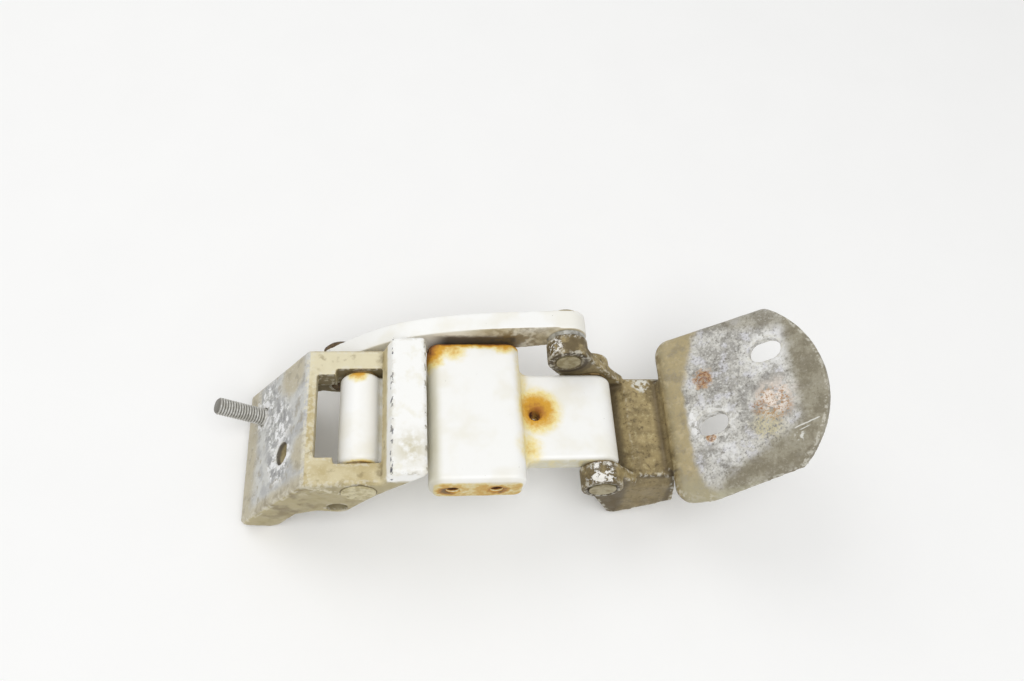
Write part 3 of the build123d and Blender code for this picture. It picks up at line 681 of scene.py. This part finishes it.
def zinc_leaf(f):
    """Bare galvanised leaf: mottled grey with white bloom, tan at its left and darker at its right."""
    cloud = f.noise(9.0, 4.0)
    speckle = f.noise(1.2, 7.0, 0.75)
    colour = f.coat(tone(206, 204, 197), tone(166, 163, 156), f.span(cloud, 0.42, 0.60))
    patches = f.noise(6.0, 6.0, 0.62)
    colour = f.coat(colour, tone(146, 143, 138), f.times(f.span(patches, 0.47, 0.38), 0.7))
    colour = f.coat(colour, tone(232, 232, 230), f.times(f.span(patches, 0.55, 0.64), 0.7))
    colour = f.coat(colour, tone(200, 199, 208), f.times(f.span(f.noise(6.0, 4.0), 0.52, 0.64), 0.5))
    colour = f.coat(colour, tone(112, 108, 100), f.times(f.span(speckle, 0.475, 0.38), 0.8))
    colour = f.coat(colour, tone(237, 237, 233), f.times(f.span(speckle, 0.53, 0.63), 0.65))
    bloom = f.most(
        f.near(on_leaf(12, -7), 11.0, 4.0, 3.0, 5.0),
        f.near(on_leaf(42, 19), 10.0, 4.0, 3.0, 5.0),
        f.times(f.near(on_leaf(16, -22), 7.0, 4.0, 3.0, 5.0), 0.7),
    )
    colour = f.coat(colour, tone(240, 240, 237), f.times(bloom, f.span(f.noise(3.6, 6.0, 0.7), 0.44, 0.58), 0.75))
    seat = f.times(f.near(on_leaf(10, -5), 8.5, 1.0, 1.2, 3.0), f.past(on_leaf(6, 0), -LEAF_UP_SLOPE, 2.0, 1.5))
    upper = f.times(f.near(on_leaf(46, 21), 10.5, 1.2, 1.5, 3.0), f.past(on_leaf(45, 0), LEAF_UP_SLOPE, 3.0, 2.0))
    seat = f.most(seat, f.times(upper, 0.6))
    colour = f.coat(colour, tone(247, 247, 246), f.times(seat, f.span(f.noise(2.4, 5.0), 0.40, 0.54), 0.85))
    dark = f.most(
        f.past(on_leaf(51, 0), LEAF_UP_SLOPE, 5.0, 4.0, 9.0),
        f.past(on_leaf(40, -21), leaf_way(0.42, -0.9), 5.0, 4.0, 9.0),
        f.times(f.past(on_leaf(34, 33), leaf_way(0.3, 0.95), 3.0, 2.0, 6.0), 0.6),
    )
    shade = f.coat(tone(152, 145, 124), tone(131, 123, 101), f.span(cloud, 0.44, 0.58))
    shade = f.coat(shade, tone(118, 110, 90), f.times(f.span(speckle, 0.46, 0.38), 0.5))
    shade = f.coat(shade, tone(184, 180, 164), f.times(f.span(speckle, 0.54, 0.64), 0.4))
    colour = f.coat(colour, shade, f.times(dark, 0.92))
    rim = f.past(on_leaf(0, -38.8), NEAR, 1.6, 1.2, 4.0)
    colour = f.coat(colour, tone(190, 186, 158), f.times(rim, f.span(f.noise(6.0, 5.0), 0.3, 0.6, 0.4, 1.0), 0.85))
    tan = f.most(
        f.past(on_leaf(1.6, 0), -LEAF_UP_SLOPE, 2.0, 1.6, 5.0),
        f.past(on_leaf(6.5, 26), leaf_way(-0.93, 0.36), 3.0, 2.0, 5.0),
        f.past(on_leaf(2.5, -27), leaf_way(-0.9, -0.4), 3.0, 2.0, 5.0),
    )
    # Painted shade: the tan grows darker at the leaf's lower edge, where it bends down.
    brown = f.coat(tone(176, 160, 118), tone(146, 134, 98), f.past(on_leaf(-5.5, 0), -LEAF_UP_SLOPE, 2.5, 1.0))
    brown = f.coat(brown, tone(196, 180, 140), f.times(f.span(f.noise(5.0, 5.0), 0.50, 0.64), 0.7))
    brown = f.coat(brown, tone(130, 118, 88), f.times(f.span(f.noise(6.0, 5.0), 0.52, 0.66), 0.5))
    brown = f.coat(brown, tone(168, 160, 130), f.times(f.past(on_leaf(0, -30), NEAR, 4.0, 3.0), 0.8))
    colour = f.coat(colour, brown, f.times(tan, f.span(speckle, 0.40, 0.52, 0.8, 1.0), 0.95))
    spots = f.times(f.glow(on_leaf(12.0, 15.0), 8.5, 2.4, 2.4), 0.9)
    spots = f.most(spots, f.glow(on_leaf(10.8, -13.7), 4.0, 0.8, 2.0))
    warm = f.times(f.glow(on_leaf(41, -6), 14.0, 3.0, 4.0), 0.55)
    low = f.times(f.glow(on_leaf(36, -15), 12.0, 3.0, 4.0), 0.42)
    pale = f.times(f.glow(on_leaf(42, -4), 13.0, 3.5, 4.0), f.span(f.noise(3.0, 5.0), 0.38, 0.56), 1.3)
    colour = f.coat(colour, tone(238, 226, 214), pale)
    colour = f.coat(colour, tone(204, 194, 152), f.times(f.span(low, 0.02, 0.36), f.span(speckle, 0.42, 0.54), 0.75))
    chewed = f.span(f.noise(2.2, 6.0, 0.7), 0.44, 0.56)
    colour = f.coat(colour, tone(198, 156, 108), f.times(f.span(spots, 0.12, 0.5), chewed, 0.8))
    colour = f.coat(colour, tone(138, 92, 52), f.times(f.span(spots, 0.25, 0.7), f.span(speckle, 0.45, 0.54), 0.9))
    colour = f.coat(colour, tone(172, 128, 80), f.times(f.span(warm, 0.08, 0.35), f.span(speckle, 0.50, 0.56), 0.9))
    heart = f.times(f.near(on_leaf(34, -6), 2.6, 1.4, 1.4, 2.0), f.span(f.noise(1.8, 4.0), 0.44, 0.56))
    colour = f.coat(colour, tone(160, 112, 66), f.times(heart, 0.85))
    marks = f.most(
        f.scratch(on_leaf(47, -19.6), on_leaf(58, -17.6), 0.28),
        f.times(f.near(on_leaf(48.4, -23.4), 2.2, 1.2), f.span(f.noise(1.6, 4.0), 0.5, 0.56)),
        f.scratch(on_leaf(49, -21.0), on_leaf(53, -20.2), 0.2),
    )
    return f.coat(colour, tone(228, 227, 220), f.times(marks, 0.85)), speckle


def door_bracket_finish():
    """Olive, dirty forging with painted shade on its near faces and in its creases, flaking paint on its bosses, and
    the bare zinc leaf.
    """
    f = Finish("leaf_paint")
    leaf, speckle = zinc_leaf(f)
    coarse = f.noise(2.0, 5.0, 0.7)
    olive = f.coat(tone(168, 150, 106), tone(136, 120, 82), f.span(f.noise(9.0, 5.0), 0.42, 0.62))
    olive = f.coat(olive, tone(200, 186, 142), f.times(f.span(coarse, 0.54, 0.66), 0.55))
    olive = f.coat(olive, tone(84, 70, 46), f.times(f.span(coarse, 0.46, 0.36), 0.65))
    # Painted shade: faces turned to the near side are darker.
    side = f.facing(NEAR, 0.5, 0.9)
    olive = f.coat(olive, tone(112, 99, 72), f.times(side, 0.6))
    # Painted shade in the lip, the groove and the crease.
    lip = f.past(mm(159.5, 0, 0), LEFT, 2.0, 1.0)
    lip = f.times(lip, f.past(mm(0, 0, 9), DOWN, 1.0), 0.75)
    groove = f.stripe(mm(179.6, 0, 0), RIGHT, 1.4, 1.2, 0.8)
    groove = f.times(groove, f.past(mm(0, 0, 13), DOWN, 2.0), 0.65)
    crease = f.stripe(mm(0, -24.3, 0), FAR, 0.7, 0.6, 0.5)
    crease = f.times(crease, f.past(mm(163, 0, 0), RIGHT, 2.0), f.past(mm(182, 0, 0), LEFT, 2.0), 0.75)
    olive = f.coat(olive, tone(88, 76, 54), f.most(lip, groove, crease))
    light = f.times(f.near(mm(170.5, 21.6, 8.4), 4.0, 1.0, 2.2, 2.5), f.span(f.noise(2.0, 5.0), 0.42, 0.5), 0.9)
    olive = f.coat(olive, tone(222, 221, 212), light)
    bosses = f.most(
        f.near(DOOR_PIVOT + mm(0, -28, 0), 12.0, 2.0, 4.0, 5.0),
        f.near(LINK_DOOR_PIVOT + mm(0, 27, 0), 12.5, 2.0, 4.0, 5.0),
    )
    bosses = f.times(bosses, f.past(DOOR_PIVOT + mm(7, 0, 0), LEFT, 2.0, 1.0))
    olive = f.coat(olive, tone(98, 84, 56), f.times(bosses, f.span(f.noise(5.0, 5.0), 0.34, 0.52), 0.85))
    # Painted shade on the bosses' near faces.
    olive = f.coat(olive, tone(96, 84, 58), f.times(bosses, side, 0.85))
    for pivot, pin in ((DOOR_PIVOT, "arm_door_pin"), (LINK_DOOR_PIVOT, "link_door_pin")):
        head_radius = frame["nodes"][pin].dimensions.z / 2
        # Painted shadow ring round each pin head.
        gap = f.rim(pivot, head_radius + 0.6 * MM)
        olive = f.coat(olive, tone(62, 50, 32), f.times(f.span(gap, 1.3 * MM, 0.6 * MM), side, 0.85))
    flaky = f.most(
        f.near(DOOR_PIVOT + mm(-2, -28, 9), 7.5, 1.5, 2.5, 4.0),
        f.near(LINK_DOOR_PIVOT + mm(-7, 27, 6), 4.5, 2.0, 2.5, 4.0),
    )
    broken = f.times(f.span(f.noise(4.0, 6.0, 0.68), 0.50, 0.53), f.span(coarse, 0.40, 0.46))
    flakes = f.times(flaky, f.flip(side), broken)
    olive = f.coat(olive, tone(242, 239, 232), flakes)
    neck = LEAF_CENTRE - LEAF_UP_SLOPE * 7.0 * MM
    on_top = f.past(neck, LEAF_UP_SLOPE, 2.2, 0.8)
    colour = f.coat(olive, leaf, on_top)
    dirt = f.times(f.span(f.painted("corner"), 0.02, 0.15), 0.7)
    colour = f.coat(colour, tone(84, 70, 48), dirt)
    chips = f.times(f.span(f.painted("edge"), 0.07, 0.22), f.span(f.noise(2.0, 5.0), 0.48, 0.58))
    colour = f.coat(colour, tone(220, 217, 204), f.times(chips, 0.55))
    roughness = f.span(f.noise(5.0), 0.3, 0.7, 0.46, 0.74)
    relief = f.plus(f.times(speckle, 0.7), f.times(coarse, 0.6), f.times(flakes, 0.8))
    return f.finish(colour, roughness, relief, 0.2)


def steel_finish(name, light, dark, roughness, metallic=0.35):
    """Worn metal in two shades with a few brown specks."""
    f = Finish(name)
    colour = f.coat(light, dark, f.span(f.noise(3.0, 5.0), 0.4, 0.62))
    colour = f.coat(colour, tone(84, 66, 48), f.times(f.span(f.noise(1.5, 4.0), 0.58, 0.7), 0.45))
    return f.finish(colour, roughness, f.noise(0.8, 4.0), 0.05, metallic=metallic)


def stud_finish():
    """Zinc with white bloom, and painted shade in the thread's grooves."""
    f = Finish("zinc_steel_thread")
    rise = f.along(STUD_BASE, STUD_AXIS)
    colour = f.coat(tone(186, 184, 176), tone(214, 213, 208), f.span(f.noise(2.6, 5.0, 0.7), 0.46, 0.58))
    reach = f.reach(STUD_BASE)
    square = f.times(reach, reach)
    radius = f.calc("SQRT", f.calc("SUBTRACT", square, f.times(rise, rise)))
    # Painted shade at the roots of the thread.
    deep = f.times(f.span(radius, 3.78 * MM, 3.36 * MM), f.past(STUD_BASE, STUD_AXIS, 0.3))
    colour = f.coat(colour, tone(110, 106, 98), f.times(deep, 0.85))
    return f.finish(colour, 0.5, f.noise(0.8, 4.0), 0.05, metallic=0.25)


for node, name, voxel, rounding, roughen, finish in (
    ("body_bracket", "body_bracket_cast", 0.5, 4, crusted_bracket, bracket_finish),
    ("main_arm", "main_arm_forged", 0.6, 8, forged_arm, arm_finish),
    ("control_link", "control_link_forged", 0.55, 4, forged_arm, link_finish),
    ("door_bracket", "door_bracket_forged", 0.6, 4, crusted_leaf, door_bracket_finish),
):
    dress(worn_copy(node, name, voxel, rounding, roughen), finish())
dress(threaded_stud("mounting_stud", "mounting_stud_threaded"), stud_finish())

plain = {
    "worn_steel": steel_finish("worn_steel", tone(168, 158, 128), tone(138, 126, 92), 0.5),
    "zinc_steel": steel_finish("zinc_steel", tone(190, 189, 182), tone(150, 147, 136), 0.42),
    "bush_bronze": steel_finish("bush_bronze", tone(150, 126, 84), tone(110, 90, 56), 0.5),
}
for part in frame["record"]["subparts"]:
    if part["material_slot"] in plain and part["node"] != "mounting_stud":
        dress(frame["nodes"][part["node"]], plain[part["material_slot"]])
rusted_pin = steel_finish("rusted_pin", tone(112, 92, 64), tone(78, 62, 42), 0.7, 0.1)
dress(frame["nodes"]["link_body_pin"], rusted_pin)
painted_pin = steel_finish("painted_pin", tone(208, 199, 164), tone(178, 166, 126), 0.6, 0.0)
dress(frame["nodes"]["arm_body_pin"], painted_pin)


def build_camera():
    """Camera at the photograph's place, fitted to the hinge's edges and pivots."""
    right = Vector((0.99272, -0.06039, 0.10425))
    up = Vector((0.0005, 0.86737, 0.49766))
    data = bpy.data.cameras.new("camera")
    data.sensor_width = 36
    data.lens = 31.13
    data.clip_start = 0.01
    data.clip_end = 20
    camera = bpy.data.objects.new("camera", data)
    camera.matrix_world = Matrix((right, up, right.cross(up))).transposed().to_4x4()
    camera.location = mm(59.20, -164.48, 375.04)
    bpy.context.scene.collection.objects.link(camera)
    bpy.context.scene.camera = camera


def build_floor():
    """Sheet of white paper under the part."""
    half = 3.0
    low = cad_box[0].z
    corners = [(-half, -half, low), (half, -half, low), (half, half, low), (-half, half, low)]
    mesh = bpy.data.meshes.new("floor")
    mesh.from_pydata(corners, [], [(0, 1, 2, 3)])
    floor = bpy.data.objects.new("floor", mesh)
    bpy.context.scene.collection.objects.link(floor)
    f = Finish("floor_paper")
    colour = f.coat(tone(252, 252, 251), tone(249, 249, 248), f.noise(40.0, 2.0))
    dress(floor, f.finish(colour, 0.9))


def area_light(name, place, size, watts):
    """Round soft lamp that is aimed at the middle of the part."""
    middle = mm(100, 0, 0)
    data = bpy.data.lights.new(name, "AREA")
    data.shape = "DISK"
    data.size = size
    data.energy = watts
    light = bpy.data.objects.new(name, data)
    light.location = place
    light.rotation_euler = (middle - Vector(place)).to_track_quat("-Z", "Y").to_euler()
    bpy.context.scene.collection.objects.link(light)


def build_light():
    """Even white surroundings with a broad lamp in front of the part and a weaker one behind it on the left."""
    world = bpy.data.worlds.new("studio")
    world.use_nodes = True
    background = world.node_tree.nodes["Background"]
    background.inputs["Color"].default_value = (1, 1, 1, 1)
    background.inputs["Strength"].default_value = 0.54
    bpy.context.scene.world = world
    area_light("key", (0.2, -0.8, 1.8), 1.7, 17.6)
    area_light("fill", (-0.45, 0.60, 1.05), 0.9, 2.6)


build_camera()
build_floor()
build_light()
bpy.context.scene.view_settings.view_transform = "Standard"
